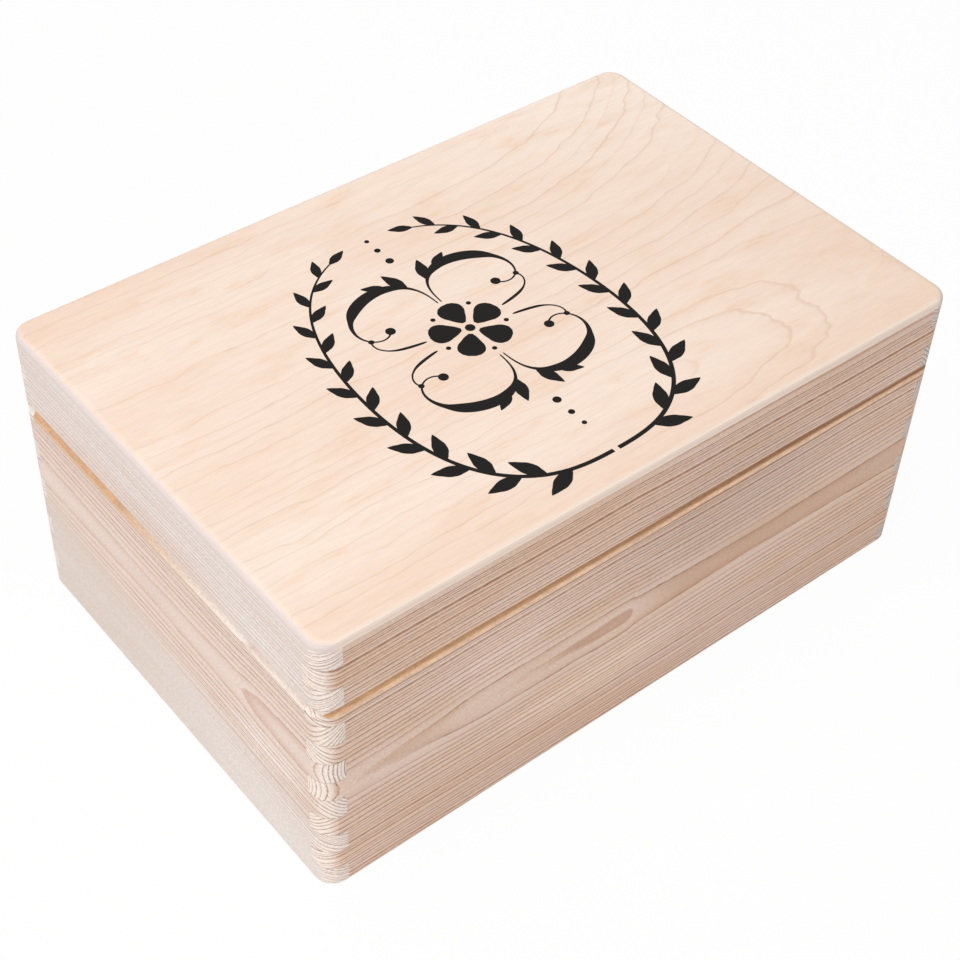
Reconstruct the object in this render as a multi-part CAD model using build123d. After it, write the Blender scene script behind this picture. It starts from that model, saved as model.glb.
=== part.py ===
from build123d import *
import math
import os

# A keepsake box of pine boards with a plywood top and bottom. The four boards are
# finger jointed into one carcass, the carcass is sawn through, and the part above
# the cut becomes a lid on two small brass hinges at the back.
# Frame: X along the length, Y from the front to the back, Z up, origin on the
# floor under the middle of the box. All sizes are in millimetres.

# Size of the closed box
box_length = 300.0
box_width = 198.0
box_height = 134.0
corner_radius = 8.0
top_edge_radius = 3.0
foot_edge_bevel = 1.0

# Boards and panels
wall = 9.5
top_panel_thickness = 4.0
bottom_panel_thickness = 4.0
finger_pitch = 10.25

# The saw cut between the lid and the base, and the V groove run along it
split_height = 98.4
saw_kerf = 2.0
groove_depth = 2.5
groove_half_height = 2.55
lip_ease = 0.15

# The rebate under the base walls that takes the bottom panel
rebate_width = 5.0
rebate_corner_radius = 6.0
panel_setback = 0.2
panel_fit = 0.15

# The two butt hinges, let into the meeting faces of the back walls
hinge_margin = 55.0
hinge_length = 25.0
knuckle_count = 3
knuckle_radius = 1.7
knuckle_gap = 0.2
knuckle_room = 0.25
leaf_thickness = 0.9
leaf_gap = 0.3
leaf_land = 1.0
leaf_side_fit = 0.1
pin_radius = 0.75
pin_fit = 0.05
pin_inset = 1.9
pin_overhang = 0.3
pin_end_room = 0.3

# The screws that hold the leaves
screw_spacing = 15.0
screw_length = 8.0
screw_radius = 0.9
screw_head_radius = 1.7
screw_head_height = 0.8
screw_fit = 0.03

# Places that follow from those sizes
half_length = box_length / 2
half_width = box_width / 2
wall_top = box_height - top_panel_thickness
rebate_depth = bottom_panel_thickness + panel_setback
rebate_land = wall - rebate_width
knuckle_length = hinge_length / knuckle_count
leaf_reach = wall - pin_inset - leaf_land
plate_edge = knuckle_radius + knuckle_room
screw_row = (leaf_reach + plate_edge) / 2
pin_line = half_width - pin_inset


def block(x, y, z):
    """A box given by its lowest and highest place along each axis."""
    size = Box(x[1] - x[0], y[1] - y[0], z[1] - z[0])
    middle = ((x[0] + x[1]) / 2, (y[0] + y[1]) / 2, (z[0] + z[1]) / 2)
    return Pos(*middle) * size


def rod(radius, length):
    """A round bar along X, centred on the origin."""
    return Rot(0, 90, 0) * Cylinder(radius, length)


def groove_cutter(length):
    """The V groove's section with eased lips, run along X with its face at Y = 0."""
    slope = groove_half_height / groove_depth
    lip = groove_half_height - lip_ease * slope
    outside = groove_half_height + lip_ease
    upper = [(groove_depth, 0), (lip_ease, lip), (0, outside), (-groove_depth, outside)]
    lower = [(y, -z) for y, z in reversed(upper[1:])]
    section = make_face(Plane.YZ * Polyline(*upper, *lower, close=True))
    return extrude(section, amount=length / 2, both=True)


def outer_form():
    """The closed box from outside, with its rounded corners, edges and grooves."""
    form = extrude(RectangleRounded(box_length, box_width, corner_radius), box_height)
    form = fillet(form.edges().group_by(Axis.Z)[-1], top_edge_radius)
    form = chamfer(form.edges().group_by(Axis.Z)[0], foot_edge_bevel)
    long_groove = groove_cutter(box_length + 2 * corner_radius)
    short_groove = groove_cutter(box_width + 2 * corner_radius)
    form -= Pos(0, -half_width, split_height) * long_groove
    form -= Pos(0, half_width, split_height) * Rot(0, 0, 180) * long_groove
    form -= Pos(-half_length, 0, split_height) * Rot(0, 0, -90) * short_groove
    form -= Pos(half_length, 0, split_height) * Rot(0, 0, 90) * short_groove
    return form


def finger_spans(first, low, high, drop):
    """Heights of every second finger between two heights of the sawn carcass."""
    spans = []
    for index in range(first, math.ceil((high + drop) / finger_pitch), 2):
        bottom = max(index * finger_pitch - drop, low)
        top = min((index + 1) * finger_pitch - drop, high)
        if top > bottom:
            spans.append((bottom, top))
    return spans


def long_board(side, low, high, drop):
    """A front or back board, which owns the second, fourth and later fingers."""
    outer, inner = side * half_width, side * (half_width - wall)
    depth = (min(outer, inner), max(outer, inner))
    reach = half_length - wall
    board = block((-reach, reach), depth, (low, high))
    for span in finger_spans(1, low, high, drop):
        board += block((-half_length, half_length), depth, span)
    return board


def end_board(side, low, high, drop):
    """A left or right board, which owns the first, third and later fingers."""
    outer, inner = side * half_length, side * (half_length - wall)
    depth = (min(outer, inner), max(outer, inner))
    reach = half_width - wall
    board = block(depth, (-reach, reach), (low, high))
    for span in finger_spans(0, low, high, drop):
        board += block(depth, (-half_width, half_width), span)
    return board


def sheet(inset, radius, thickness):
    """A panel with rounded corners, drawn in from the outside of the box."""
    outline = RectangleRounded(box_length - 2 * inset, box_width - 2 * inset, radius)
    return extrude(outline, thickness)


def hinge_places():
    """The middle of each hinge on the pin line, with the side's name."""
    half = half_length - hinge_margin
    sides = [("left", -half), ("right", half)]
    return [(name, Pos(x, pin_line, split_height)) for name, x in sides]


def owned_knuckles(first):
    """Where along X the middles of every second knuckle of a hinge lie."""
    start = (knuckle_length - hinge_length) / 2
    return [start + index * knuckle_length for index in range(first, knuckle_count, 2)]


def screw_places():
    """The two screws of the lower leaf, at the face of the leaf that they sit flush with."""
    half = screw_spacing / 2
    return [Pos(x, -screw_row, -leaf_gap / 2) for x in (-half, half)]


def lower_leaf(first_knuckle):
    """The leaf under the pin line: a plate, its rolled knuckles and countersunk holes."""
    half = hinge_length / 2
    level = (-leaf_gap / 2 - leaf_thickness, -leaf_gap / 2)
    leaf = block((-half, half), (-leaf_reach, -plate_edge), level)
    for x in owned_knuckles(first_knuckle):
        end = (knuckle_length - knuckle_gap) / 2
        leaf += block((x - end, x + end), (-plate_edge, 0), level)
        leaf += Pos(x, 0, 0) * rod(knuckle_radius, 2 * end)
    leaf -= rod(pin_radius + pin_fit, hinge_length)
    for place in screw_places():
        leaf -= place * screw_form(screw_fit)
    return leaf


def screw_form(fit):
    """A countersunk screw with its head face at Z = 0, grown by a fit on its radius."""
    outline = Polyline(
        (0, 0),
        (screw_head_radius + fit, 0),
        (screw_radius + fit, -screw_head_height),
        (screw_radius + fit, -screw_length - fit),
        (0, -screw_length - fit),
        close=True,
    )
    return revolve(make_face(Plane.XZ * outline), Axis.Z)


def lower_screws():
    """The screws of the lower leaf."""
    return [place * screw_form(0) for place in screw_places()]


def hinge_seat():
    """What is cut from both back walls: leaf mortises, knuckle trough and pilot holes."""
    half = hinge_length / 2 + leaf_side_fit
    depth = leaf_gap / 2 + leaf_thickness
    seat = block((-half, half), (-leaf_reach - leaf_side_fit, 0), (-depth, depth))
    seat += rod(plate_edge, hinge_length + 2 * (pin_overhang + pin_end_room))
    for place in screw_places():
        hole = place * screw_form(screw_fit)
        seat += [hole, turned_over(hole)]
    return seat


def turned_over(shape):
    """The same shape above the pin line instead of below it."""
    return mirror(shape, Plane.XY)


outside = outer_form()
parts = {}

# Base and lid walls: each board is cut to the outer form of the box.
for name, board, side in (
    ("front", long_board, -1),
    ("back", long_board, 1),
    ("left", end_board, -1),
    ("right", end_board, 1),
):
    parts[f"base_{name}_wall"] = board(side, 0, split_height, 0) & outside
    parts[f"lid_{name}_wall"] = board(side, split_height, wall_top, saw_kerf) & outside

# The bottom panel lies in a rebate that runs round under all four base walls.
rebate = sheet(rebate_land, rebate_corner_radius, rebate_depth)
for name in ("front", "back", "left", "right"):
    parts[f"base_{name}_wall"] -= rebate
bottom_panel = sheet(rebate_land + panel_fit, rebate_corner_radius - panel_fit, bottom_panel_thickness)
parts["bottom_panel"] = Pos(0, 0, panel_setback) * bottom_panel

# The top panel covers the lid walls and carries the rounded top edge.
top_blank = Pos(0, 0, wall_top) * sheet(0, corner_radius, top_panel_thickness)
parts["top_panel"] = top_blank & outside

# Hinges: the lower leaf and the pin belong to the base, the upper leaf to the lid.
pin = rod(pin_radius, hinge_length + 2 * pin_overhang)
for name, place in hinge_places():
    parts["base_back_wall"] -= place * hinge_seat()
    parts["lid_back_wall"] -= place * hinge_seat()
    parts[f"base_hinge_leaf_{name}"] = place * lower_leaf(0)
    parts[f"lid_hinge_leaf_{name}"] = place * turned_over(lower_leaf(1))
    parts[f"hinge_pin_{name}"] = place * pin
    screws = [place * screw for screw in lower_screws()]
    parts[f"base_hinge_screws_{name}"] = Compound(children=screws)
    screws = [place * turned_over(screw) for screw in lower_screws()]
    parts[f"lid_hinge_screws_{name}"] = Compound(children=screws)

os.makedirs("parts", exist_ok=True)
for name, part in parts.items():
    export_step(part, f"parts/{name}.step")
    volume = sum(solid.volume for solid in part.solids())
    print(name, len(part.solids()), "solid(s)", round(volume), "mm3")
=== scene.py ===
# %% [markdown]
# # A pine keepsake box with a printed plywood lid
# The construction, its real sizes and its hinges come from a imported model, which is
# loaded here as a fixed frame. This lesson adds what the eye sees: pine with growth
# rings that run through the boards, plywood with a rotary cut figure, a black print,
# brass hinges, a soft studio light and the camera.

# %% Load the frame
import math
from functools import partial

import bpy
from mathutils import Matrix, Vector


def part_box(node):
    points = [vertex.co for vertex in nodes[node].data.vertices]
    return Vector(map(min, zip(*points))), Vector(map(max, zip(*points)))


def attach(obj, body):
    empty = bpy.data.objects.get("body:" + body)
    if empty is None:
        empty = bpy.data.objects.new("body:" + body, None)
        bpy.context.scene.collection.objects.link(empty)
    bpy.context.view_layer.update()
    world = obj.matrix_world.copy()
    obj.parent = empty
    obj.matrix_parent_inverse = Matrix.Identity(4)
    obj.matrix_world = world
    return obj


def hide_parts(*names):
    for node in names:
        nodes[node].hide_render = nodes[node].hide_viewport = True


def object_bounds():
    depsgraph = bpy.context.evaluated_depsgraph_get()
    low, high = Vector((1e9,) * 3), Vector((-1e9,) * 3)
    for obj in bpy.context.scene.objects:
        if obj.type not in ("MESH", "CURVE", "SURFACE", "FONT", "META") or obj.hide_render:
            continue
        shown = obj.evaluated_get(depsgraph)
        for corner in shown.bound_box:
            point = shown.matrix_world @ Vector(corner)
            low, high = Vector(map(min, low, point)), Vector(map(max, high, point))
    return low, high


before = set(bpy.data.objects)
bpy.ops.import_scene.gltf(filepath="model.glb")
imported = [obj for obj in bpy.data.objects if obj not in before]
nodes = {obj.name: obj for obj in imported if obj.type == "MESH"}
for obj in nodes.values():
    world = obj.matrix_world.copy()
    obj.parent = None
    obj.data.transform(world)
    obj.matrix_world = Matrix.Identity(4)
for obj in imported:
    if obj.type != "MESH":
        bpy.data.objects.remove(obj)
cad_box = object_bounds()
scene = bpy.context.scene

# %% [markdown]
# ## Sizes read from the frame
# The ends, edges and heights of the pieces are read from the boxes of the real ones,
# so that a pattern stays where it belongs if the construction changes. The boxes
# don't tell how the corners and the groove were cut, so those three sizes are given.
# Patterns are thought of in millimetres, because that is how wood is measured.

# %% Measure the box
MM = 0.001
TO_MM = (1000, 1000, 1000)
half_length, half_width, top = Vector(cad_box[1]) / MM
wall_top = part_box("top_panel")[0][2] / MM
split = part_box("lid_front_wall")[0][2] / MM
wall = half_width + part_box("base_front_wall")[1][1] / MM
finger_pitch = 10.25
saw_kerf = 2.0
groove_reach = 2.8  # half the height of the V groove, with its eased lips
print("half length", half_length, "half width", half_width, "wall", round(wall, 2), "split", split)

# %% [markdown]
# ## The camera
# The box is seen from above its near left corner. The camera's place was worked out
# from the outline of the box, and its angles are given as a person would say them:
# how far round the box, how high above it, and how much the camera leans.

# %% Place the camera
def put(name, data):
    """A new object in the scene."""
    made = bpy.data.objects.new(name, data)
    scene.collection.objects.link(made)
    return made


camera_place = Vector((-364.8, -422.9, 592.2)) * MM
view_azimuth, view_elevation, view_roll = (math.radians(a) for a in (-40.68, 44.51, 2.61))
focal_share = 1904.0 / 960.0  # the focal length over the width of the picture

back = Vector((math.sin(view_azimuth) * math.cos(view_elevation),
               -math.cos(view_azimuth) * math.cos(view_elevation),
               math.sin(view_elevation)))
right = (-back).cross(Vector((0, 0, 1))).normalized()
up = back.cross(right)
right, up = (right * math.cos(view_roll) + up * math.sin(view_roll),
             up * math.cos(view_roll) - right * math.sin(view_roll))
camera = put("camera", bpy.data.cameras.new("camera"))
camera.data.sensor_width = 36.0
camera.data.lens = focal_share * camera.data.sensor_width
camera.matrix_world = Matrix.Translation(camera_place) @ Matrix((right, up, back)).transposed().to_4x4()
scene.camera = camera
print("lens", round(camera.data.lens, 1), "mm")

# %% [markdown]
# ## Small helpers
# Colours are written as the sRGB hex values that one would read off the object, and
# a shader needs them linear. One function adds a node of any kind, with its settings
# and its links, so that each material below reads as a list of its steps. "Math ADD"
# is a Math node set to ADD, and the values after it fill its inputs in their order.

# %% Colours, nodes and materials
NODE_FAMILIES = ("ShaderNode", "GeometryNode", "FunctionNode")
MODE_SETTINGS = ("operation", "interpolation_type", "noise_dimensions", "data_type", "mode", "fill_type")


def linear(code):
    """A linear RGBA colour from an sRGB hex value such as "E8CDB4"."""
    parts = [int(code[i:i + 2], 16) / 255 for i in (0, 2, 4)]
    return (*[c / 12.92 if c <= 0.04045 else ((c + 0.055) / 1.055) ** 2.4 for c in parts], 1.0)


def plug(node, inputs):
    """Sets inputs, named by label or number, to a value, a colour's hex, a node or a (node, output) pair.

    A node stands for its first live output. An input that joins things takes a list of them.
    """
    for key, wanted in inputs.items():
        live = [socket for socket in node.inputs if socket.enabled]
        socket = live[key] if isinstance(key, int) else next(s for s in live if s.name == key)
        for value in wanted if socket.is_multi_input else [wanted]:
            if isinstance(value, bpy.types.Node):
                value = next(output for output in value.outputs if output.enabled)
            elif isinstance(value, tuple) and isinstance(value[0], bpy.types.Node):
                value = value[0].outputs[value[1]]
            if isinstance(value, bpy.types.NodeSocket):
                node.id_data.links.new(value, socket)
            elif isinstance(value, str) and socket.type == "RGBA":
                socket.default_value = linear(value)
            else:
                socket.default_value = value


def add(tree, kind, *values, stops=(), points=(), **settings):
    """Adds one node with its settings. A colour ramp takes stops, a float curve points.

    The values fill the inputs in order, and a dict after them gives inputs by label or number.
    """
    kind, _, mode = kind.partition(" ")
    made = tree.nodes.new(next(f + kind for f in NODE_FAMILIES if hasattr(bpy.types, f + kind)))
    if mode:
        settings[next(setting for setting in MODE_SETTINGS if hasattr(made, setting))] = mode
    for name, value in settings.items():
        setattr(made, name, value)
    named = values[-1] if values and isinstance(values[-1], dict) else {}
    plug(made, dict(enumerate(values[:-1] if named else values)) | named)
    if stops:
        ramp = made.color_ramp.elements
        while len(ramp) < len(stops):
            ramp.new(0.5)
        for element, (position, code) in zip(ramp, stops):
            element.position = position
            element.color = linear(code)
    if points:
        curve = made.mapping.curves[0].points
        while len(curve) < len(points):
            curve.new(0.5, 0.5)
        for point, place in zip(curve, points):
            point.location = place
        made.mapping.update()
    return made


def new_material(name):
    """A node material, what adds a node to it, and its Principled shader."""
    made = bpy.data.materials.new(name)
    made.use_nodes = True
    return made, partial(add, made.node_tree), made.node_tree.nodes["Principled BSDF"]


# %% [markdown]
# ## Floor and light
# A product picture is taken on a white sweep under large soft lamps. The floor shows
# pure white to the camera, but it still takes the box's soft shadow, because part of
# what the camera sees there is the lit surface.

# %% Floor, world and lamps
def seen_share(node):
    """1 for what the camera sees, also in a gloss or through glass, and 0 for what lights the scene."""
    path = node("LightPath")
    seen = node("Math MAXIMUM", (path, "Is Camera Ray"), (path, "Is Glossy Ray"))
    return node("Math MAXIMUM", seen, (path, "Is Transmission Ray"))


def floor(half_size, glow_share):
    """A wide pale floor that keeps the box's shadow."""
    mesh = bpy.data.meshes.new("floor")
    corners = [(half_size * x, half_size * y, 0) for x, y in ((-1, -1), (1, -1), (1, 1), (-1, 1))]
    mesh.from_pydata(corners, [], [(0, 1, 2, 3)])
    made = put("floor", mesh)
    material, node, shader = new_material("studio_floor")
    plug(shader, {"Base Color": "F4F2F0", "Roughness": 0.9})
    glow = node("Emission", "FFFFFF", 1.0)
    mix = node("MixShader", node("Math MULTIPLY", seen_share(node), glow_share), shader, glow)
    plug(material.node_tree.nodes["Material Output"], {0: mix})
    mesh.materials.append(material)


def studio_world(strength):
    """An even pale surround, which the camera, gloss and glass see as white."""
    scene.world = bpy.data.worlds.new("studio")
    scene.world.use_nodes = True
    scene.world.node_tree.nodes.clear()
    node = partial(add, scene.world.node_tree)
    seen = seen_share(node)
    light = node("Background", "FFFFFF", strength)
    mix = node("MixShader", seen, light, node("Background", "FFFFFF", 1.0))
    node("OutputWorld", mix)


def soft_lamp(name, place, size, power):
    """A square white lamp that points at the middle of the box."""
    made = put(name, bpy.data.lights.new(name, "AREA"))
    made.data.shape = "SQUARE"
    made.data.size = size
    made.data.energy = power
    aim = Vector((0, 0, top / 2)) * MM - Vector(place)
    made.matrix_world = Matrix.Translation(place) @ aim.to_track_quat("-Z", "Y").to_matrix().to_4x4()


floor(half_size=3.0, glow_share=0.95)
studio_world(strength=0.36)
soft_lamp("overhead", (-0.5, -0.1, 1.7), size=1.4, power=20.3)
soft_lamp("left_window", (-1.7, 0.0, 0.8), size=1.2, power=4.3)
soft_lamp("front_fill", (-0.8, -1.0, 0.4), size=0.8, power=1.75)
scene.view_settings.view_transform = "Standard"
print("lamps", [lamp.name for lamp in bpy.data.lights])

# %% [markdown]
# ## Pine, as a solid that was sawn out of a log
# Pine shows its growth rings as lines along the board, as a pointed or plain band
# where the saw ran close along one ring, and as arcs where the board's end shows in
# a finger joint. All three are one thing: rings round the pith, cut by a plane. So
# the pattern is made as a solid, from the distance of each point to the pith of its
# board. The lines then run on from the face into the end grain and the groove by
# themselves. A picture mapped on each face could not do that.
#
# Each ring grows pale and soft in spring, darkens through the summer and stops
# sharply in winter, which is why its dark side has one soft and one hard edge.

# %% Groups and cloudy patterns
def new_group(name, kind, inputs, outputs):
    """A node group with named sockets, what adds a node to it, and its input and output nodes.

    Each socket is a label, a kind and, for some inputs, a value to start from.
    """
    tree = bpy.data.node_groups.new(name, kind)
    for way, sockets in (("INPUT", inputs), ("OUTPUT", outputs)):
        for label, socket_kind, *start in sockets:
            socket = tree.interface.new_socket(label, in_out=way, socket_type="NodeSocket" + socket_kind)
            if start:
                socket.default_value = start[0]
    return tree, partial(add, tree), tree.nodes.new("NodeGroupInput"), tree.nodes.new("NodeGroupOutput")


def blotches(node, place, sizes, detail, spread=(), roughness=0.5):
    """A cloudy pattern with spots of the sizes given along X, Y and Z.

    Its values, 0 to 1, are spread by From Min, From Max and, where given, To Min and To Max.
    """
    shrunk = node("VectorMath MULTIPLY", place, [1 / size for size in sizes])
    pattern = node("TexNoise", shrunk, {"Scale": 1.0, "Detail": detail, "Roughness": roughness})
    return node("MapRange", pattern, *spread) if spread else pattern


# %% The growth rings of a board
def growth_rings():
    """Rings from a place in the board: X along the grain, Y into the board, Z up, in millimetres."""
    values = ("Pith Depth", "Pith Height", "Pith Rise", "First Ring", "Ring Width", "First Tone", "Seed")
    patterns = ("Late Wood", "Distance", "Fibre", "Cloud", "Speckle")
    tree, node, given, result = new_group(
        "pine_growth_rings", "ShaderNodeTree",
        [("Place", "Vector"), ("Facing", "Vector")] + [(label, "Float") for label in values],
        [(label, "Float") for label in patterns])
    place = (given, "Place")
    apart = node("SeparateXYZ", place)
    along, depth, height = [(apart, axis) for axis in "XYZ"]
    # Each board lies elsewhere in the log's noise, 61 mm higher for each step of its seed.
    moved = node("VectorMath ADD", node("VectorMath MULTIPLY", (0, 0, 61), (given, "Seed")), place)

    # The tree did not grow quite straight: a slow wander of 0.9 mm and a fine ripple of 0.2 mm.
    wander = blotches(node, moved, (70, 60, 30), 1.0, (0, 1, -0.9, 0.9))
    ripple = blotches(node, moved, (28, 5, 5), 2.0, (0, 1, -0.18, 0.18))

    middle = node("Math MULTIPLY_ADD", along, (given, "Pith Rise"), (given, "Pith Height"))
    inward = node("Math SUBTRACT", depth, (given, "Pith Depth"))
    away = node("CombineXYZ", {1: inward, 2: node("Math SUBTRACT", height, middle)})
    distance = node("Math ADD", node("VectorMath LENGTH", away), ripple)

    # How level a face lies on the rings: 1 where it runs along one, 0 where it cuts straight across.
    away = node("VectorMath NORMALIZE", away)
    level = node("VectorMath DOT_PRODUCT", away, (given, "Facing"))
    level = node("Math POWER", level, 2.0)

    # Where it runs along one, torn fibres feather the ring's edge by up to 0.2 mm.
    feather = blotches(node, moved, (16, 1.1, 1.1), 2.0, (0, 1, -0.2, 0.2))
    distance = node("Math MULTIPLY_ADD", feather, level, distance)
    # How steeply it cuts them goes the other way.
    steep = node("Math MAXIMUM", node("Math SUBTRACT", 1.0, level), 0.02)
    steep = node("Math SQRT", steep)

    # Rings away from the first ones wander and vary in width, in spells of some three good or bad years.
    beyond = node("Math SUBTRACT", distance, (given, "First Ring"))
    freedom = node("MapRange", beyond, 1.5, 9.0)
    shifted = node("Math MULTIPLY_ADD", wander, freedom, beyond)
    years = node("Math DIVIDE", shifted, (given, "Ring Width"))
    season = node("Math MULTIPLY_ADD", years, 0.31, (given, "Seed"))
    season = node("TexNoise 1D", {"W": season, "Scale": 1.0, "Detail": 1.0})
    season = node("MapRange", season, {3: -1.1, 4: 1.1})
    years = node("Math MULTIPLY_ADD", season, freedom, years)

    number = node("Math FLOOR", years)
    first = node("Math COMPARE", number, 0.0, 0.5)
    number = node("Math ADD", number, (given, "Seed"))
    strength = node("MapRange", node("TexWhiteNoise 1D", {"W": number}), {3: 0.6, 4: 1.1})
    growth = node("Math FRACT", years)

    # The winter line is dark over about 0.6 mm of the surface; before it the ring darkens slowly.
    # Where the face runs along a ring, the line spreads into a soft brown tongue.
    left = node("Math MULTIPLY", node("Math SUBTRACT", 1.0, growth), (given, "Ring Width"))
    left = node("Math DIVIDE", left, steep)
    line = node("ValToRGB", left, stops=[(0.0, "C0C0C0"), (0.08, "FFFFFF"), (0.3, "F0F0F0"),
                                         (0.55, "A0A0A0"), (0.9, "000000")])
    slow = node("Math POWER", growth, node("MapRange", steep, 0.15, 0.3, 2.2, 3.0))
    slow = node("Math MULTIPLY", slow, node("MapRange", growth, 1.0, 0.88))
    slow = node("Math MULTIPLY", slow, node("MapRange", steep, 0.15, 0.3, 0.5, 0.38))
    break_up = blotches(node, moved, (4, 1.2, 1.2), 1.0, (0.3, 0.6, 0.6, 1.0))
    line = node("Math MULTIPLY", line, break_up)
    firm = node("MapRange SMOOTHSTEP", steep, 0.1, 0.3)
    line = node("Math MULTIPLY", line, firm)
    # The plain band of the first ring has a tone of its own there.
    band = node("MapRange", firm, {3: first, 4: 0.0})
    band = node("MapRange", band, {3: 1.0, 4: (given, "First Tone")})
    slow = node("Math MULTIPLY", slow, band)
    late = node("Math MULTIPLY", node("Math MAXIMUM", line, slow), strength)

    # Fibres are streaks some 25 mm long and 0.5 mm wide, the wood's tone drifts in clouds of 80 mm by
    # 14 mm, and cut fibres and resin canals are specks of 1.5 mm by 0.4 mm.
    streak = blotches(node, moved, (25, 0.5, 0.5), 3.0, roughness=0.65)
    cloud = blotches(node, moved, (80, 14, 14), 2.0)
    speck = blotches(node, moved, (1.5, 0.4, 0.4), 2.0)
    plug(result, dict(zip(patterns, (late, distance, streak, cloud, speck))))
    return tree


rings_group = growth_rings()
print("growth ring nodes", len(rings_group.nodes))

# %% [markdown]
# ## One material for each board
# A board's material turns the box's coordinates until the grain runs along X and the
# outer face looks to the front, so one set of rings serves all four sides. The lid
# was sawn off the finished box, so its boards carry on the pattern of the base with
# the width of the saw cut left out.
#
# Planed pine is matt and slightly silky. Its end grain is cooler than its faces,
# because the open pores scatter light. The groove's colours are painted light: its deeper
# part is a painted shadow of the upper lip, its shallow edge a painted highlight, and its
# orange a painted glow for the light that the wood throws back and forth inside it.

# %% Pine for one side of the box
def pine(name, turn, reach, look):
    """Planed pine for the boards on one side, whose outer face lies at a reach from the middle."""
    material, node, shader = new_material("planed_pine_" + name)
    here = node("TexCoord")
    angle = (0, 0, math.radians(turn))
    place = node("Mapping", {"Vector": (here, "Object"), "Rotation": angle, "Scale": TO_MM})
    facing = node("Mapping", {"Vector": (here, "Normal"), "Rotation": angle})
    place = node("VectorMath ADD", place, (0, reach, 0))
    apart = node("SeparateXYZ", place)
    side = node("SeparateXYZ", facing)
    along, depth, height = [(apart, axis) for axis in "XYZ"]

    # Above the saw cut the log goes on as if the kerf were still there. The two sawn faces lie at the
    # height of the cut, so the way a face looks decides which side it belongs to.
    above = node("Math GREATER_THAN", node("Math MULTIPLY_ADD", (side, "Z"), -0.1, height), split)
    lifted = node("CombineXYZ", {2: node("Math MULTIPLY", above, saw_kerf)})
    in_log = node("VectorMath ADD", place, lifted)

    # How deep the pith lies changes along the board: that makes the pointed figure.
    share = node("MapRange", along, -half_length, half_length)
    curve = [(0.5 + at / (2 * half_length), 0.5 + (value - look["pith"]) / 10)
             for at, value in look["depths"]]
    pith = node("FloatCurve", {"Value": share}, points=curve)
    pith = node("MapRange", pith, {3: look["pith"] - 5, 4: look["pith"] + 5})
    rings = node("Group", node_tree=rings_group)
    plug(rings, {"Place": in_log, "Facing": facing, "Pith Depth": pith, "Pith Height": look["height"],
                 "Pith Rise": look["rise"], "First Ring": look["first"], "Ring Width": look["width"],
                 "First Tone": look["band"], "Seed": look["seed"]})

    # Long grain: pale early wood and darker late wood, a pinker heart, and a resin stain beside the pith.
    heart = node("MapRange", (rings, "Distance"), look["heart"] + 4, look["heart"] - 4)
    early = node("Mix RGBA", heart, look["sap"], look["core"])
    cloud = node("MapRange", (rings, "Cloud"), 0.3, 0.7, {4: look["cloud"]})
    early = node("Mix RGBA", cloud, early, look["stain"])
    resin = node("Math ABSOLUTE", node("Math SUBTRACT", height, look["height"]))
    resin = node("MapRange SMOOTHSTEP", resin, 9.0, 4.0, {4: 0.7})
    reached = node("MapRange", along, look["resin"] - 12, look["resin"] + 12)
    resin = node("Math MULTIPLY", resin, reached)
    early = node("Mix RGBA", resin, early, "DDB89F")
    # Under the height of the fade the lines are faint and the wood is chalky.
    slanted = node("Math MULTIPLY_ADD", along, look["fade_slope"], height)
    clear = node("MapRange", slanted, look["fade"] - 9, look["fade"] + 9, 0.12, 1.0)
    dull = node("Math MAXIMUM", node("Math SUBTRACT", 0.75, clear), 0.0)
    # Painted light: towards the left board's front corner the chalky tone is painted paler, where more
    # light reaches it.
    near_corner_light = node("MapRange", along, *look["routed"])
    early = node("Mix RGBA", dull, early, node("Mix RGBA", near_corner_light, "DECFC5", "E8DFD9"))
    # The lines turn darker and warmer as the late wood sets in.
    softer = node("MapRange", above, {3: 1.0, 4: look["lid_lines"]})
    dark = node("Math MULTIPLY", node("Math MULTIPLY", (rings, "Late Wood"), clear), softer)
    grain = node("Mix RGBA", dark, early, look["late"])
    warm = node("Math MULTIPLY", dark, node("Math SUBTRACT", 1.0, dark))
    grain = node("Mix RGBA", warm, grain, look["warm"])

    # Broad patches of the face are greyer, paler or warmer.
    for at, level, length, width, tint in look["patches"]:
        spot = node("VectorMath SUBTRACT", place, (at, 0, level))
        spot = node("VectorMath MULTIPLY", spot, (1 / length, 0, 1 / width))
        spot = node("MapRange SMOOTHSTEP", node("VectorMath LENGTH", spot), 1.0, 0.2)
        tinted = node("VectorMath MULTIPLY", grain, tint)
        grain = node("Mix RGBA", spot, grain, tinted)

    # End grain shows where a face cuts across the fibres.
    across = node("Math ABSOLUTE", (side, "X"))
    end_on = node("MapRange SMOOTHSTEP", across, 0.1, 0.75)
    ends = node("Mix RGBA", node("Math POWER", (rings, "Late Wood"), 1.25), *look["ends"])
    wood = node("Mix RGBA", end_on, grain, ends)

    # The groove, on both sides of the saw cut, where the face is slanted.
    slant = node("Math ABSOLUTE", (side, "Z"))
    slant = node("ValToRGB", slant,
                 stops=[(0.2, "000000"), (0.45, "FFFFFF"), (0.85, "FFFFFF"), (0.98, "000000")])
    routed = node("Math MULTIPLY", slant, node("Math COMPARE", height, split, groove_reach))
    routed = node("Math MULTIPLY", routed, node("MapRange", across, 0.3, 0.1))
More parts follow.
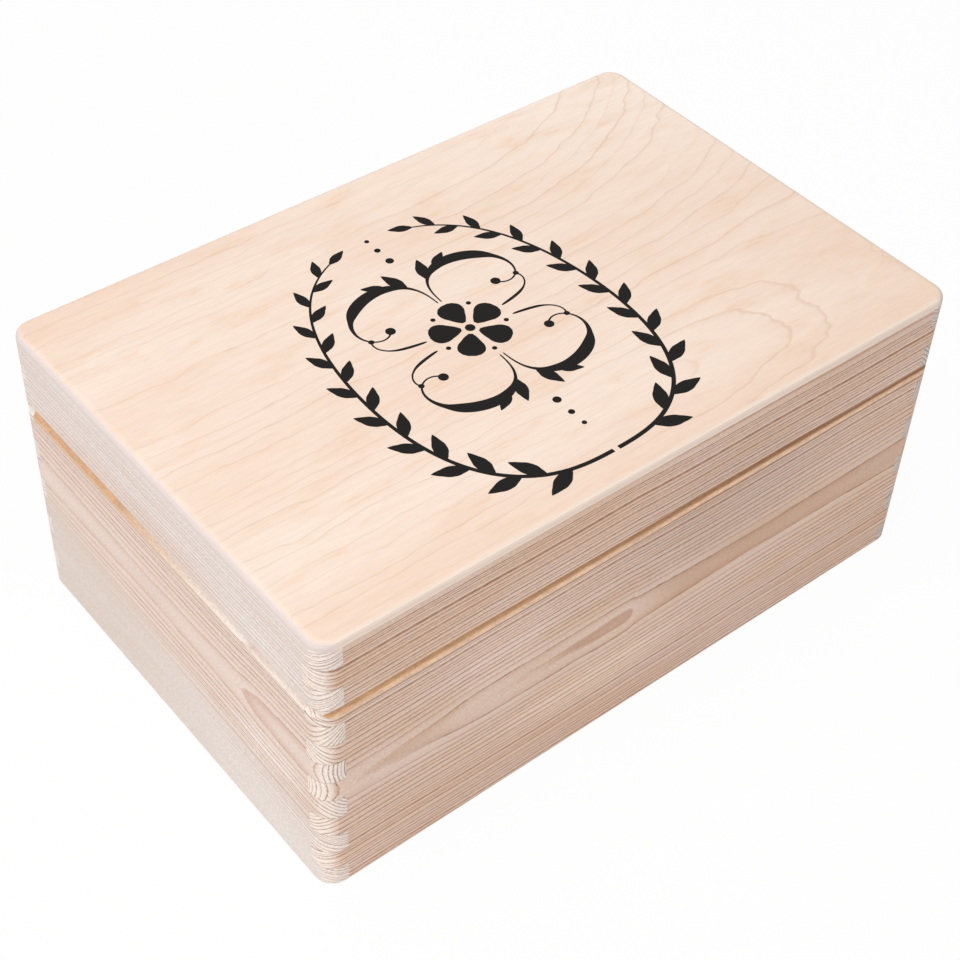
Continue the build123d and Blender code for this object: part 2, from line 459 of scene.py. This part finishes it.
    # Painted shade: the deeper part of the groove turns brown where the upper lip shades it, and its
    # shallow part is a paler painted highlight. The deep tone can change along the board.
    painted_lip_shadow = node("MapRange SMOOTHSTEP", depth, 0.5, 1.3)
    shallow_tone, *deep_tones = look["groove"]
    colour = node("Mix RGBA", painted_lip_shadow, shallow_tone, node("Mix RGBA", share, *deep_tones))
    patch = blotches(node, place, (7, 1.5, 1.5), 2.0, (0.3, 0.7, 0.86, 1.12))
    # Painted light: there the groove is painted paler still, and its painted shade and glow are weaker.
    colour = node("Mix RGBA", near_corner_light, node("VectorMath MULTIPLY", colour, patch), "FFF8F0")
    routed = node("Math MULTIPLY", routed, node("MapRange", near_corner_light, {3: 0.95, 4: 0.35}))
    # Where the groove runs out, its deepest part takes none of the painted groove shade and shows the
    # plain wood.
    unshaded_end = node("MapRange", along, *look["unshaded_end"])
    deep = node("MapRange", depth, 1.45, 1.85)
    unshaded_end = node("Math SUBTRACT", 1.0, node("Math MULTIPLY", unshaded_end, deep))
    routed = node("Math MULTIPLY", routed, unshaded_end)
    wood = node("Mix RGBA", routed, wood, colour)

    # The face just under the groove's lower lip is tinted: on the front board a thin dark line, on the
    # left board a band of the groove's painted orange glow.
    lip_share, lip_half, lip_tone = look["lip"]
    lip = node("Math COMPARE", height, split - groove_reach - 0.05 - lip_half, lip_half)
    tinted = node("MapRange", near_corner_light, {3: lip_share, 4: 0.0})
    lip = node("Math MULTIPLY", lip, tinted)
    wood = node("Mix RGBA", lip, wood, lip_tone)

    # Glue lines between the fingers, some 0.3 mm wide, in the corners only.
    joint = node("Math PINGPONG", (node("SeparateXYZ", in_log), "Z"), finger_pitch / 2)
    joint = node("MapRange", joint, 0.22, 0.08)
    corner = node("Math GREATER_THAN", node("Math ABSOLUTE", along), look["end_at"] - wall)
    joint = node("Math MULTIPLY", node("Math MULTIPLY", joint, corner), 0.45)
    wood = node("Mix RGBA", joint, wood, "8A6A54")

    # Fibres and specks change the tone, and lines and fibres stand up from the surface by 0.1 mm.
    fibre = node("MapRange", (rings, "Fibre"), 0.25, 0.75, 0.92, 1.06)
    speckle = node("MapRange", (rings, "Speckle"), 0.25, 0.75, 0.82, 1.17)
    fibre = node("Math MULTIPLY", fibre, speckle)
    wood = node("VectorMath MULTIPLY", wood, fibre)
    relief = node("Math MULTIPLY_ADD", (rings, "Late Wood"), 0.5, (rings, "Fibre"))
    bump = node("Bump", {"Strength": 0.35, "Distance": 0.00012, "Height": relief})
    rough = node("MapRange", dark, {3: 0.72, 4: 0.58})
    plug(shader, {"Base Color": wood, "Normal": bump, "Roughness": rough, "IOR": 1.45})
    print(name, "pine nodes", len(material.node_tree.nodes))
    return material


# %% [markdown]
# ## The four boards
# Each board has its own place in a log. The front board was sawn some 20 mm from the
# pith, which dips towards one end: its pointed band and brown tongue come from that.
# The left board runs almost along one ring, so it has a wide plain band.
#
# Places are in millimetres along the board and up. `depths` says how deep the pith
# lies along it, `first` and `width` are the first ring's radius and its width, and
# `patches` are broad spots with their place, their size and a tint. A pair such as
# `routed` or `unshaded_end` is a stretch along the board over which a change of painted
# light sets in: `routed` makes the near corner paler, and `unshaded_end` takes the painted
# shadow out of the deepest part of the groove. A plain board has none of them, because
# they lie beyond its end.

# %% Pine for the four sides
def finish_node(name, material):
    """Gives one CAD piece its material."""
    nodes[name].data.materials.clear()
    nodes[name].data.materials.append(material)


nowhere = (900, 1000)
plain = dict(band=1.0, fade=-30, fade_slope=0.0, lid_lines=1.0, resin=900, routed=nowhere, unshaded_end=nowhere)
front_look = dict(
    plain, end_at=half_length, pith=20.0, height=55.6, rise=-0.01, first=20.16, width=1.62, band=0.45,
    depths=[(-150, 21.95), (-127, 21.66), (-104, 21.15), (-80, 20.2), (-60, 20.11), (-40, 20.02),
            (-10, 19.84), (-5, 20.38), (150, 20.3)],
    seed=3.0, heart=60, sap="F1D7C9", core="F2DACD", stain="E6C09C", cloud=0.5, late="7F5132",
    warm="E0904C", resin=5, ends=("FEEEE4", "A07A66"), groove=("FAD5B4", "ECC094", "A46E46"),
    lip=(0.42, 0.35, "7F5132"), unshaded_end=(75, 122),
    patches=[(40, 88, 80, 42, (0.89, 0.897, 0.914)), (-25, 31, 65, 16, (1.125, 1.19, 1.23)),
             (-72, 78, 35, 22, (1.08, 1.12, 1.185))])
left_look = dict(
    plain, end_at=half_width, pith=28.0, height=67.6, rise=0.0, first=28.1, width=1.4, band=0.35,
    depths=[(-99, 28.2), (47, 28.15), (53, 27.8), (62, 27.4), (99, 26.9)], lid_lines=0.55,
    seed=11.0, heart=40, sap="F2ECE8", core="F0DCD2", stain="E8D0C1", cloud=0.35, late="946349",
    warm="E0A578", fade=40, fade_slope=0.2, ends=("FFEFE5", "8E7568"), routed=(-30, 60),
    groove=("D8AC82", "E2B68E", "E2B68E"), lip=(0.7, 0.85, "E2B68E"),
    patches=[(65, 48, 32, 12, (1.09, 1.156, 1.205)), (-20, 106, 95, 9, (0.952, 0.873, 0.842))])
back_look = dict(
    plain, end_at=half_length, pith=16.0, height=34.0, rise=0.02, first=15.0, width=2.0,
    depths=[(-150, 16), (0, 18), (150, 14)], seed=23.0, heart=50, sap="F0D8C8", core="F1D5C4",
    stain="E4C2A8", cloud=0.45, late="8F6549", warm="E0A070", ends=("F6ECE4", "A88E80"),
    groove=("F6D8BC", "C69468", "B88558"), lip=(0.3, 0.35, "8F6549"),
    patches=[(-50, 40, 80, 25, (0.92, 0.92, 0.93)), (60, 80, 70, 20, (1.06, 1.08, 1.1))])
right_look = dict(
    plain, end_at=half_width, pith=25.0, height=88.0, rise=-0.03, first=24.0, width=1.6,
    depths=[(-99, 24), (0, 26), (99, 25)], seed=37.0, heart=45, sap="F1E2D7", core="F1DACB",
    stain="E8CCB8", cloud=0.4, late="9C765E", warm="E0A578", ends=("E6D6CD", "7A645C"),
    groove=("EFC8A2", "D2A076", "C08E62"), lip=(0.2, 0.35, "9C765E"),
    patches=[(20, 60, 60, 25, (0.93, 0.92, 0.92))])
for name, turn, reach, look in (
        ("front", 0, half_width, front_look), ("left", 90, half_length, left_look),
        ("back", 180, half_width, back_look), ("right", -90, half_length, right_look)):
    boards = pine(name, turn, reach, look)
    finish_node(f"base_{name}_wall", boards)
    finish_node(f"lid_{name}_wall", boards)

# %% [markdown]
# ## Plywood with a rotary cut face
# The top and the bottom are thin birch plywood of three plies. A face veneer is
# peeled off the log like paper off a roll, so its figure is not a set of straight
# lines: it is the contour map of a slightly bumpy log. It is drawn here as such a
# map: a field gives the height of the cut in the log at each point, and a fine line
# lies wherever it passes a whole number of years.
#
# At the edge the plies show: the outer two run along the box and the middle one
# across it, so each shows end grain on the sides where the others show faces.

# %% Birch plywood for one panel
def plywood(name, under, climb_from, rise):
    """Sanded birch plywood for a panel whose underside is at a height, with a rise of its log."""
    material, node, shader = new_material("sanded_birch_plywood_" + name)
    here = node("TexCoord")
    place = node("VectorMath MULTIPLY", (here, "Object"), TO_MM)
    apart = node("SeparateXYZ", place)
    x, y, z = [(apart, axis) for axis in "XYZ"]
    facing = node("SeparateXYZ", (here, "Normal"))

    # To the right, over a run of 120 mm, the years rise, and the more so the farther back they lie.
    climb = node("Math POWER", node("MapRange", x, climb_from, climb_from + 120), 2.0)
    tall = node("Math MAXIMUM", node("Math MULTIPLY_ADD", y, 0.38, 14), 0.0)
    level = node("Math SUBTRACT", y, node("Math MULTIPLY", tall, climb))

    # Towards the near side they close in loops, three times as long as wide, round the rise.
    loop_reach, loop_stretch = 42.0, (1 / 3, 1, 0)
    beside = node("Math SUBTRACT", level, rise[1])
    beyond = node("Math MAXIMUM", node("Math SUBTRACT", x, rise[0]), 0.0)
    near = node("Math POWER", node("Math DIVIDE", beside, loop_reach), 2.0)
    near = node("Math EXPONENT", node("Math MULTIPLY", near, -1.0))
    beyond = node("Math MULTIPLY", beyond, near)
    away = node("VectorMath MULTIPLY", node("CombineXYZ", beyond, beside), loop_stretch)
    away = node("VectorMath LENGTH", away)
    ragged = blotches(node, place, (45, 16, 1), 3.0, (0, 1, -3.4, 3.4), roughness=0.55)
    map_height = node("Math ADD", away, ragged)
    wave = blotches(node, place, (22, 9, 1), 2.0, (0, 1, -2.2, 2.2))
    map_height = node("Math ADD", map_height, wave)

    # Wide years show at the right, narrow ones at the left, and each line has its own weight.
    lines = []
    for spacing, low_x, high_x in ((7.0, -60, 30), (4.2, 40, -60)):
        years = node("Math DIVIDE", map_height, spacing)
        number = node("TexWhiteNoise 1D", {"W": node("Math FLOOR", years)})
        number = node("MapRange", number, 0.2, {3: 0.1, 4: 1.0})
        line = node("Math FRACT", years)
        line = node("ValToRGB", line, stops=[(0.0, "000000"), (0.55, "0A0A0A"), (0.84, "707070"),
                                             (0.93, "FFFFFF"), (1.0, "000000")])
        part = node("MapRange", x, low_x, high_x)
        line = node("Math MULTIPLY", node("Math MULTIPLY", line, number), part)
        lines.append(line)
    line = node("Math MAXIMUM", *lines)

    # Short flecks and pores lie along the grain: 9 mm by 0.8 mm and finer, browner where they crowd.
    fleck = blotches(node, place, (9, 0.8, 0.8), 4.0, roughness=0.6)
    cloud = blotches(node, place, (110, 40, 1), 2.0, (0.35, 0.7, 0.0, 0.75))
    face = node("Mix RGBA", cloud, "F9E4D4", "F5D9C5")
    # The sheet is browner along its long edges. Towards its right end it darkens, painted shade for the
    # falloff of the overhead lamp, and its far corner is paler, a painted highlight.
    far_corner_light = node("MapRange", node("Math MULTIPLY_ADD", x, 0.5, y), 60.0, 150.0)
    browner_and_shaded = node("MapRange", x, 40.0, 150.0, {4: 0.28})
    sideways = node("MapRange", node("Math ABSOLUTE", y), 72.0, 99.0, {4: 0.5})
    browner_and_shaded = node("Math MAXIMUM", browner_and_shaded, sideways)
    browner_and_shaded = node("Math MULTIPLY", browner_and_shaded, node("Math SUBTRACT", 1.0, far_corner_light))
    face = node("Mix RGBA", far_corner_light, node("Mix RGBA", browner_and_shaded, face, "F0D2BC"), "FFECDD")
    crowd = blotches(node, place, (32, 8, 1), 2.0, (0.5, 0.66))
    face = node("Mix RGBA", node("Math MULTIPLY", crowd, 0.13), face, "EFC9A8")
    brown = node("Math MULTIPLY", node("MapRange", fleck, 0.5, 0.66), crowd)
    brown = node("Math MULTIPLY", brown, 0.6)
    face = node("Mix RGBA", brown, face, "E9C19C")
    face = node("Mix RGBA", node("Math MULTIPLY", line, 0.5), face, "D8B295")

    # The edge: three plies, with a thin glue line between them.
    ply_thickness = (top - wall_top) / 3
    ply = node("Math DIVIDE", node("Math SUBTRACT", z, under), ply_thickness)
    glue = node("MapRange", node("Math PINGPONG", ply, 0.5), 0.1, 0.02, {4: 0.2})
    middle = node("Math COMPARE", ply, 1.5, 0.5)
    at_end = node("Math ABSOLUTE", (facing, "X"))
    end_on = node("Math SUBTRACT", node("MapRange", at_end, 0.4, 0.8), middle)
    end_on = node("Math ABSOLUTE", end_on)
    edge = node("Mix RGBA", end_on, "FFECDC", "F8E3D5")
    # Its ends are cut across two plies of three, and so are cooler.
    cool = node("MapRange", at_end, 0.03, 0.4, {4: 0.9})
    edge = node("Mix RGBA", glue, node("Mix RGBA", cool, edge, "E4D6D2"), "C0A08A")
    upright = node("MapRange", node("Math ABSOLUTE", (facing, "Z")), 0.99, 0.7)
    wood = node("Mix RGBA", upright, face, edge)
    wood = node("VectorMath MULTIPLY", wood, node("MapRange", fleck, 0.25, 0.75, 0.94, 1.03))
    bump = node("Bump", {"Strength": 0.25, "Distance": 0.0001, "Height": fleck})
    rough = node("MapRange", fleck, {3: 0.58, 4: 0.7})
    plug(shader, {"Base Color": wood, "Normal": bump, "Roughness": rough, "IOR": 1.45})
    print(name, "plywood nodes", len(material.node_tree.nodes))
    return material


# %% Dress the two panels
finish_node("top_panel", plywood("top", wall_top, climb_from=30, rise=(20, -70)))
bottom_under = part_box("bottom_panel")[0][2] / MM
finish_node("bottom_panel", plywood("bottom", bottom_under, climb_from=-90, rise=(-60, 20)))

# %% [markdown]
# ## Hinges
# The hinges are small stamped brass butts on steel pins. Tumbling leaves brass with
# soft edges and a broad, slightly cloudy gloss, not with the lines of a brush. The
# pins are drawn wire, so their gloss varies in faint streaks along them. The screws
# are steel under a thin yellow passive skin, which is a little duller.

# %% Metals
def metal(name, colour, shade, roughness, stretch):
    """A metal whose gloss varies in patches of a size in millimetres along X, Y and Z."""
    material, node, shader = new_material(name)
    sizes = [size * MM for size in stretch]
    patch = blotches(node, (node("TexCoord"), "Object"), sizes, 4.0, roughness=0.6)
    colour = node("Mix RGBA", patch, colour, shade)
    rough = node("MapRange", patch, 0.3, 0.7, roughness - 0.08, roughness + 0.1)
    bump = node("Bump", {"Strength": 0.2, "Distance": 0.00005, "Height": patch})
    plug(shader, {"Base Color": colour, "Normal": bump, "Roughness": rough, "Metallic": 1.0})
    return material


brass = metal("tumbled_brass", "E3BE6B", "CDA253", roughness=0.32, stretch=(1.5, 1.5, 1.5))
pin_steel = metal("drawn_steel_wire", "D2CFC9", "B9B5AE", roughness=0.28, stretch=(6.0, 0.4, 0.4))
screw_steel = metal("yellow_passivated_steel", "DCC58B", "BFA468", roughness=0.35, stretch=(0.8,) * 3)
for side in ("left", "right"):
    for body in ("base", "lid"):
        finish_node(f"{body}_hinge_leaf_{side}", brass)
        finish_node(f"{body}_hinge_screws_{side}", screw_steel)
    finish_node(f"hinge_pin_{side}", pin_steel)
print("metals", brass.name, pin_steel.name, screw_steel.name)

# %% [markdown]
# ## Screws with a thread and a slot
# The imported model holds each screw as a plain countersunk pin, which is enough for
# its weight and its hole. When the lid is open, one sees the slotted heads. A small
# node tree builds one whole screw, thread and all, and sets it on every place where
# the frame has one, so a change of the screw changes all eight.

# %% Node tree of a countersunk wood screw
def geometry_tree(name, sizes):
    """A geometry group whose inputs are a geometry, named sizes and a finish."""
    sizes = [(label, "Float", value) for label, value in sizes.items()]
    inputs = [("Geometry", "Geometry"), *sizes, ("Finish", "Material")]
    return new_group(name, "GeometryNodeTree", inputs, [("Geometry", "Geometry")])


def close_tree(node, given, result, geometry):
    """Ends a tree: instances become real and take their finish."""
    real = node("RealizeInstances", geometry)
    dressed = node("SetMaterial", real, {"Material": (given, "Finish")})
    plug(result, {0: dressed})


def bake(name, data, tree, material, film=0.0, **sizes):
    """Runs a tree on a mesh or curve and leaves one plain mesh under the name."""
    source = put(name + "_source", data)
    modifier = source.modifiers.new("build", "NODES")
    modifier.node_group = tree
    wanted = dict(sizes, Finish=material)
    for item in tree.interface.items_tree:
        label = item.name.replace(" ", "_")
        if item.in_out == "INPUT" and label in wanted:
            modifier[item.identifier] = wanted[label]
    if film:
        solid = source.modifiers.new("film", "SOLIDIFY")
        solid.thickness, solid.offset = film, 1.0
    evaluated = source.evaluated_get(bpy.context.evaluated_depsgraph_get())
    mesh = bpy.data.meshes.new_from_object(evaluated)
    mesh.name = name
    mesh.polygons.foreach_set("use_smooth", [False] * len(mesh.polygons))
    made = put(name, mesh)
    bpy.data.objects.remove(source)
    return made


def screw_tree():
    """A slotted countersunk screw, its head face at the point and its tip along Z, turned about X by
    Turn.
    """
    tree, node, given, result = geometry_tree("slotted_wood_screw", {
        "Head Radius": 1.7 * MM, "Head Height": 0.8 * MM, "Shank Radius": 0.62 * MM,
        "Thread Radius": 0.86 * MM, "Length": 8.0 * MM, "Slot Width": 0.45 * MM, "Slot Depth": 0.4 * MM,
        "Turn": 0.0})
    head_radius, head_height = (given, "Head Radius"), (given, "Head Height")
    shank_radius, length = (given, "Shank Radius"), (given, "Length")
    head = node("MeshCone", {"Vertices": 32, "Radius Top": shank_radius, "Radius Bottom": head_radius,
                             "Depth": head_height})
    # The knife that cuts the slot is longer than the head is wide, and half of it is in the air.
    deep = node("Math MULTIPLY", (given, "Slot Depth"), 2.0)
    knife = node("MeshCube", {"Size": node("CombineXYZ", 6 * MM, (given, "Slot Width"), deep)})
    head = node("MeshBoolean DIFFERENCE", {"Mesh 1": head, "Mesh 2": [knife]}, solver="EXACT")
    # The shank starts a little inside the head, and takes 72 % of the length before the tip.
    straight = node("Math MULTIPLY", length, 0.72)
    shank = node("MeshCone", {"Vertices": 16, "Radius Top": shank_radius, "Radius Bottom": shank_radius,
                              "Depth": straight})
    below = node("CombineXYZ", {2: node("Math MULTIPLY", head_height, 0.9)})
    shank = node("Transform", shank, {"Translation": below})
    tip_at = node("Math MULTIPLY_ADD", head_height, 0.9, straight)
    tip_long = node("Math SUBTRACT", length, tip_at)
    tip = node("MeshCone", {"Vertices": 16, "Radius Top": 0.0, "Radius Bottom": shank_radius,
                            "Depth": tip_long})
    tip = node("Transform", tip, {"Translation": node("CombineXYZ", {2: tip_at})})
    helix = node("CurveSpiral", {"Resolution": 14, "Rotations": 6.5, "Start Radius": shank_radius,
                                 "End Radius": shank_radius, "Height": straight})
    helix = node("Transform", helix, {"Translation": below})
    depth = node("Math SUBTRACT", (given, "Thread Radius"), shank_radius)
    section = node("CurvePrimitiveCircle", {"Resolution": 3, "Radius": depth})
    thread = node("CurveToMesh", helix, section, {"Fill Caps": True})
    screw = node("JoinGeometry", [head, shank, tip, thread])
    spin = node("RandomValue FLOAT", {"Min": 0.0, "Max": math.pi, "Seed": 7})
    turn = node("CombineXYZ", (given, "Turn"), {2: spin})
    placed = node("InstanceOnPoints", (given, "Geometry"), {"Instance": screw, "Rotation": turn})
    close_tree(node, given, result, placed)
    return tree


# %% Set the screws
wood_screw = screw_tree()
for body, turn in (("base", math.pi), ("lid", 0.0)):
    heads = []
    for side in ("left", "right"):
        lower, upper = (Vector(corner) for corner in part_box(f"{body}_hinge_screws_{side}"))
        radius = (upper.y - lower.y) / 2
        level = upper.z if body == "base" else lower.z
        heads += [(x, lower.y + radius, level) for x in (lower.x + radius, upper.x - radius)]
    points = bpy.data.meshes.new(body + "_screw_places")
    points.from_pydata(heads, [], [])
    screws = bake(body + "_screws", points, wood_screw, screw_steel, Turn=turn)
    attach(screws, body)
    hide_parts(f"{body}_hinge_screws_left", f"{body}_hinge_screws_right")
    print(body, "screws", len(screws.data.polygons), "faces", screws.dimensions / MM)

# %% [markdown]
# ## The print on the lid
# The lid carries a black screen print, a thin film of ink that stands a few
# hundredths of a millimetre proud of the wood. The design is a common one: a laurel
# wreath, open at the top, round a five petalled blossom with four pen scrolls.
#
# A pen line bends evenly more and more as it runs into a curl. So every line here is
# given by where it starts, which way it sets off, how long it is and how its bend
# grows, in degrees for each 10 mm. A node tree then turns the lines into strokes
# that swell and thin like those of a broad pen, and sets leaves along them.

# %% Pen lines
print_middle = Vector((-13.0, -4.0))
ink_film = 0.05 * MM


def pen_line(start, heading, length, bends, steps=90):
    """Points of a line whose bend, in degrees for each 10 mm, runs evenly through the values given."""
    place, angle, step = Vector(start), math.radians(heading), length / steps
    points = [place.copy()]
    for index in range(steps):
        share = (index + 0.5) / steps * (len(bends) - 1)
        low_bend = min(int(share), len(bends) - 2)
        bend = bends[low_bend] + (bends[low_bend + 1] - bends[low_bend]) * (share - low_bend)
        angle += math.radians(bend) * step / 10
        place += Vector((math.cos(angle), math.sin(angle))) * step
        points.append(place.copy())
    return points


def on_lid(place, mirror_x=1, mirror_y=1):
    """A point of the design, mirrored or not, on top of the lid, in metres."""
    return Vector((print_middle.x + mirror_x * place.x, print_middle.y + mirror_y * place.y, top)) * MM


def line_curves(name, lines):
    """Curve data with one poly spline for each line of points in metres."""
    data = bpy.data.curves.new(name, "CURVE")
    data.dimensions = "3D"
    for line in lines:
        spline = data.splines.new("POLY")
        spline.points.add(len(line) - 1)
        for point, place in zip(spline.points, line):
            point.co = (*place, 1)
    return data


four_ways = [(x, y) for x in (1, -1) for y in (1, -1)]
wreath_line = pen_line((1.2, -82), 0, 190, (2, 14, 13, 7, 4, 3.5, 6, 11, 13))
scroll_line = pen_line((0.8, -18.5), -88, 74, (0, 44, 34, 22, 34, 70, 120))
tendril_line = pen_line((18, 3.2), 8, 24, (4, 10, 60, 140))
wreath_lines = [[on_lid(p, x) for p in wreath_line] for x in (1, -1)]
scroll_lines, tendril_lines = ([[on_lid(p, x, y) for p in line] for x, y in four_ways]
                               for line in (scroll_line, tendril_line))
print("wreath reaches", [round(max(p[i] for p in wreath_line), 1) for i in (0, 1)], "mm")

# %% [markdown]
# ## Strokes, leaves and dots
# A stroke is a ribbon. Curve to Mesh sweeps a flat line along the curve, and a width
# that changes along the line makes it a pen stroke. A leaf is a short stroke with
# the widths of a leaf. A modifier gives the ribbons the thickness of the film, so
# each is a closed solid.

# %% Node trees of the print
def stroke(node, curve, width, widths):
    """A ribbon along a curve, whose width follows shares of the full width given along its length."""
    share = node("FloatCurve", {"Value": (node("SplineParameter"), "Factor")}, points=widths)
    half = node("Math MULTIPLY", node("Math MULTIPLY", share, width), 0.5)
    upright = node("SetCurveNormal Z_UP", curve)
    flat = node("CurvePrimitiveLine", (-1, 0, 0), (1, 0, 0))
    return node("CurveToMesh", upright, flat, {"Scale": half})


def leaf_shape(node, length, width, widths):
    """One straight leaf or petal of unit scale, from its stalk along X, a little above the strokes."""
    spine = node("CurvePrimitiveLine", (0, 0, 0), node("CombineXYZ", length))
    spine = node("ResampleCurve", {"Curve": spine, "Count": 18})
    leaf = stroke(node, spine, width, widths)
    return node("Transform", leaf, {"Translation": (0, 0, 0.3 * ink_film)})


laurel_leaf = [(0, 0.1), (0.18, 0.62), (0.45, 1.0), (0.75, 0.62), (1, 0.04)]
rose_petal = [(0, 0.14), (0.3, 0.66), (0.68, 1.0), (0.9, 0.74), (1, 0.28)]


def branch_tree():
    """A stem with leaves on alternate sides, which get smaller towards its end, and one at its tip."""
    tree, node, given, result = geometry_tree("laurel_branch", {
        "Leaf Length": 15.5 * MM, "Leaf Width": 6.0 * MM, "Leaf Gap": 8.8 * MM,
        "Leaf Angle": math.radians(36), "Shrink": 0.35, "Stem Width": 1.8 * MM})
    line = (given, "Geometry")
    stem = stroke(node, line, (given, "Stem Width"), [(0, 1.0), (0.6, 0.75), (1, 0.35)])
    leaf = leaf_shape(node, (given, "Leaf Length"), (given, "Leaf Width"), laurel_leaf)
    along = node("SplineParameter")
    marked = node("StoreNamedAttribute", line, {"Name": "along", "Value": (along, "Factor")})
    spots = node("CurveToPoints LENGTH", marked, {"Length": (given, "Leaf Gap")})
    along = node("InputNamedAttribute", {"Name": "along"})
    way = node("SeparateXYZ", (spots, "Tangent"))
    way = node("Math ARCTAN2", (way, "Y"), (way, "X"))
    # Odd leaves turn to one side, even ones to the other, and the last one straight on.
    side = node("Math MODULO", node("InputIndex"), 2.0)
    side = node("Math MULTIPLY_ADD", side, 2.0, -1.0)
    side = node("Math MULTIPLY", side, node("Math LESS_THAN", along, 0.99))
    turn = node("CombineXYZ", {2: node("Math MULTIPLY_ADD", side, (given, "Leaf Angle"), way)})
    size = node("Math SUBTRACT", 1.0, node("Math MULTIPLY", along, (given, "Shrink")))
    leafy = node("Math GREATER_THAN", along, 0.06)
    leaves = node("InstanceOnPoints", spots, leafy, leaf, {"Rotation": turn, "Scale": size})
    branch = node("JoinGeometry", [stem, leaves])
    close_tree(node, given, result, branch)
    return tree


def scroll_tree(name, width, widths, dot):
    """Pen strokes that end in a round dot."""
    tree, node, given, result = geometry_tree(name, {"Stroke Width": width, "Dot Radius": dot})
    line = stroke(node, (given, "Geometry"), (given, "Stroke Width"), widths)
    disc = node("MeshCircle NGON", {"Vertices": 24, "Radius": (given, "Dot Radius")})
    disc = node("Transform", disc, {"Translation": (0, 0, 0.6 * ink_film)})
    last = node("CurveEndpointSelection", {"Start Size": 0, "End Size": 1})
    scroll = node("JoinGeometry", [line, node("InstanceOnPoints", (given, "Geometry"), last, disc)])
    close_tree(node, given, result, scroll)
    return tree


def mark_tree(name, length, width, widths):
    """A leaf, a petal or, without widths, a dot on each point, with the point's own turn and size."""
    tree, node, given, result = geometry_tree(name, {"Mark Length": length, "Mark Width": width})
    if widths:
        mark = leaf_shape(node, (given, "Mark Length"), (given, "Mark Width"), widths)
    else:
        mark = node("MeshCircle NGON", {"Vertices": 24, "Radius": (given, "Mark Width")})
    turn = node("CombineXYZ", {2: node("InputNamedAttribute", {"Name": "turn"})})
    size = node("InputNamedAttribute", {"Name": "size"})
    marks = node("InstanceOnPoints", (given, "Geometry"),
                 {"Instance": mark, "Rotation": turn, "Scale": size})
    close_tree(node, given, result, marks)
    return tree


def mark_points(name, marks):
    """A mesh of points for marks: each has a place in metres, a turn in degrees and a size."""
    data = bpy.data.meshes.new(name)
    data.from_pydata([place for place, turn, size in marks], [], [])
    for label, values in (("turn", [math.radians(m[1]) for m in marks]), ("size", [m[2] for m in marks])):
        data.attributes.new(label, "FLOAT", "POINT").data.foreach_set("value", values)
    return data


# %% [markdown]
# ## Ink
# Screen ink is matt, dense and black with a warm trace of the wood under it. It could
# be a picture on the lid, but a film with its own material keeps a clean edge.

# %% Black screen ink
def screen_ink():
    """Matt black ink, pressed through a screen: even, with a faint trace of the grain under it."""
    material, node, shader = new_material("black_screen_ink")
    trace = blotches(node, (node("TexCoord"), "Object"), (9 * MM, 0.7 * MM, 1 * MM), 3.0)
    colour = node("Mix RGBA", trace, "1A1816", "1F1D1B")
    rough = node("MapRange", trace, {3: 0.74, 4: 0.86})
    plug(shader, {"Base Color": colour, "Roughness": rough, "Specular IOR Level": 0.12})
    return material


# %% [markdown]
# ## The design
# Mirrored lines and a few lists of places make the whole design, so a change of one
# line changes all its copies. Each kind of mark becomes one piece that rides the lid.

# %% Print the design
def polar(radius, degrees):
    """A point of the design at a distance and a direction from its middle, in millimetres."""
    return Vector((math.cos(math.radians(degrees)), math.sin(math.radians(degrees)))) * radius


def mirrored(degrees, x, y):
    """The direction of a line after its design is mirrored."""
    degrees = degrees if x > 0 else 180 - degrees
    return degrees if y > 0 else -degrees


ink = screen_ink()
branch = branch_tree()
pen_widths = [(0, 0.1), (0.17, 0.22), (0.34, 0.82), (0.5, 1.0), (0.67, 0.38), (0.83, 0.15), (1, 0.15)]
hair_widths = [(0, 0.4), (0.33, 1.0), (0.67, 0.54), (1, 0.54)]
scroll_leaves = [(on_lid(scroll_line[at], x, y), mirrored(way, x, y), size)
                 for x, y in four_ways for at, way, size in ((18, -72, 1.0), (27, -34, 0.85))]
fifth = 360 // 5
petals = [(on_lid(polar(3.6, way)), way, 1.0) for way in range(90, 90 + 360, fifth)]
dots = [(on_lid(Vector((0, 0))), 0, 2.0)]
dots += [(on_lid(polar(14.5, way)), 0, 1.0) for way in range(126, 126 + 360, fifth)]
dots += [(on_lid(Vector((0, y * far))), 0, size)
         for y in (1, -1) for far, size in ((50, 1.7), (58, 1.3), (65, 1.0))]
pieces = [bake("laurel_branch_" + side, line_curves(side + "_branch_line", [line]), branch, ink, ink_film,
               Leaf_Angle=x * math.radians(36))
          for side, x, line in zip(("right", "left"), (1, -1), wreath_lines)]
for name, data, tree in (
        ("pen_scrolls", line_curves("scroll_lines", scroll_lines),
         scroll_tree("pen_scroll", width=5.2 * MM, widths=pen_widths, dot=2.0 * MM)),
        ("pen_tendrils", line_curves("tendril_lines", tendril_lines),
         scroll_tree("pen_tendril", width=1.3 * MM, widths=hair_widths, dot=1.2 * MM)),
        ("scroll_leaves", mark_points("leaf_places", scroll_leaves),
         mark_tree("scroll_leaf", 12.5 * MM, 5.0 * MM, laurel_leaf)),
        ("blossom_petals", mark_points("petal_places", petals),
         mark_tree("blossom_petal", 12.6 * MM, 10.6 * MM, rose_petal)),
        ("printed_dots", mark_points("dot_places", dots), mark_tree("printed_dot", 0, 1.0 * MM, None))):
    pieces.append(bake(name, data, tree, ink, ink_film))
for piece in pieces:
    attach(piece, "lid")
    print(piece.name, len(piece.data.polygons), "faces")
